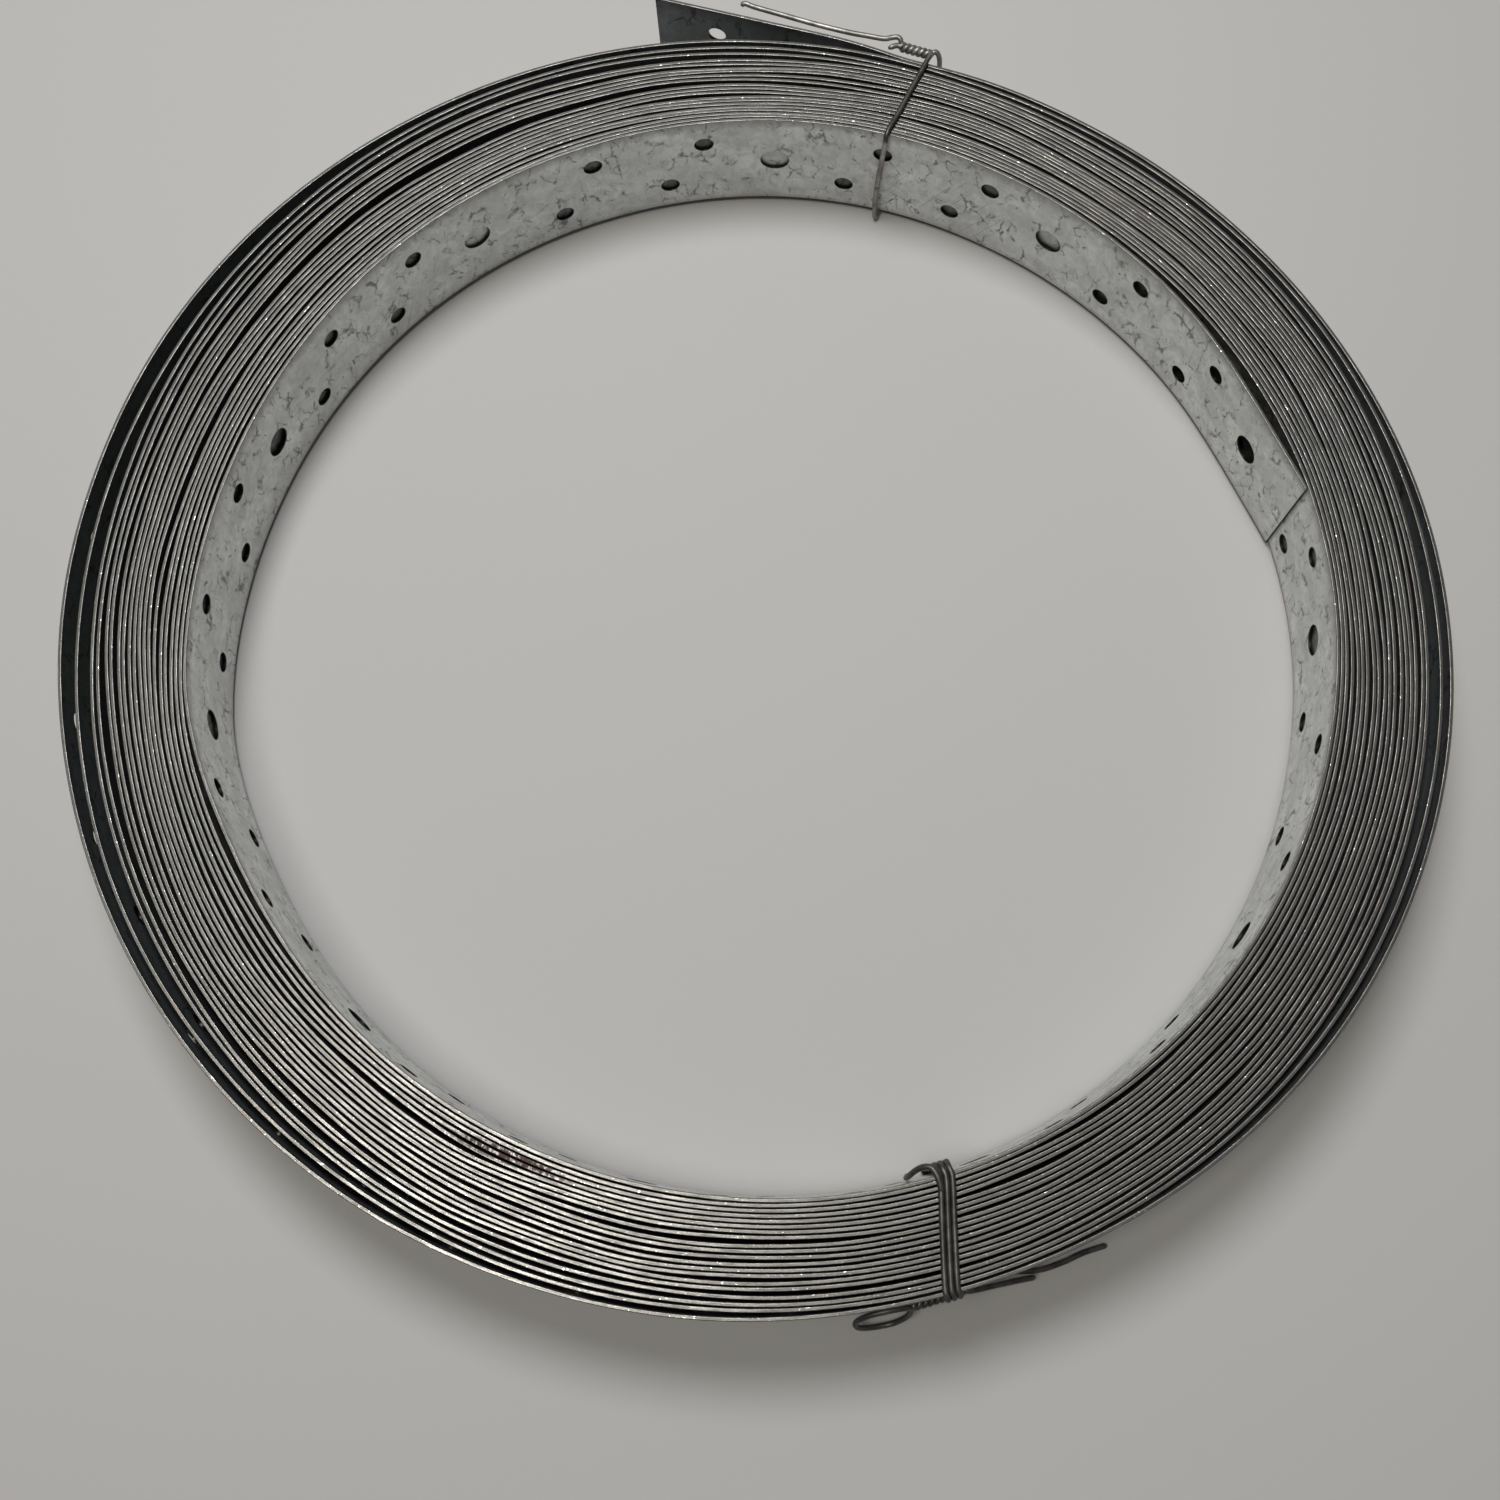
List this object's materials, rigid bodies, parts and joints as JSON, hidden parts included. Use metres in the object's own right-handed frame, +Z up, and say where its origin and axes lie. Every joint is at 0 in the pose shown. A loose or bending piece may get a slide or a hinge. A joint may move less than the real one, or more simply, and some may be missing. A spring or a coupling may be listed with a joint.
{
  "type": "steel strap coil",
  "caption": "Coil of flat punched galvanised steel strap lying on its side, outer turns parted, with a flat free end, held by twisted wire ties.",
  "frame": {"origin": "on the coil's axis, at the floor it lies on", "axes": "+Z up the coil's axis; the strap's flat tail lies on the +Y side and points along -X; the strap winds outwards anticlockwise seen from above"},
  "size_m": [0.2903, 0.2848, 0.034],
  "materials": {
    "galvanised_strap": "dull zinc coating with short dark scratches, bare sheared edges",
    "tie_wire": "dull grey soft wire"
  },
  "bodies": {
    "root": {"strap_coil": "galvanised_strap", "upper_tie_wire": "tie_wire", "lower_tie_wire": "tie_wire"}
  },
  "joints": []
}
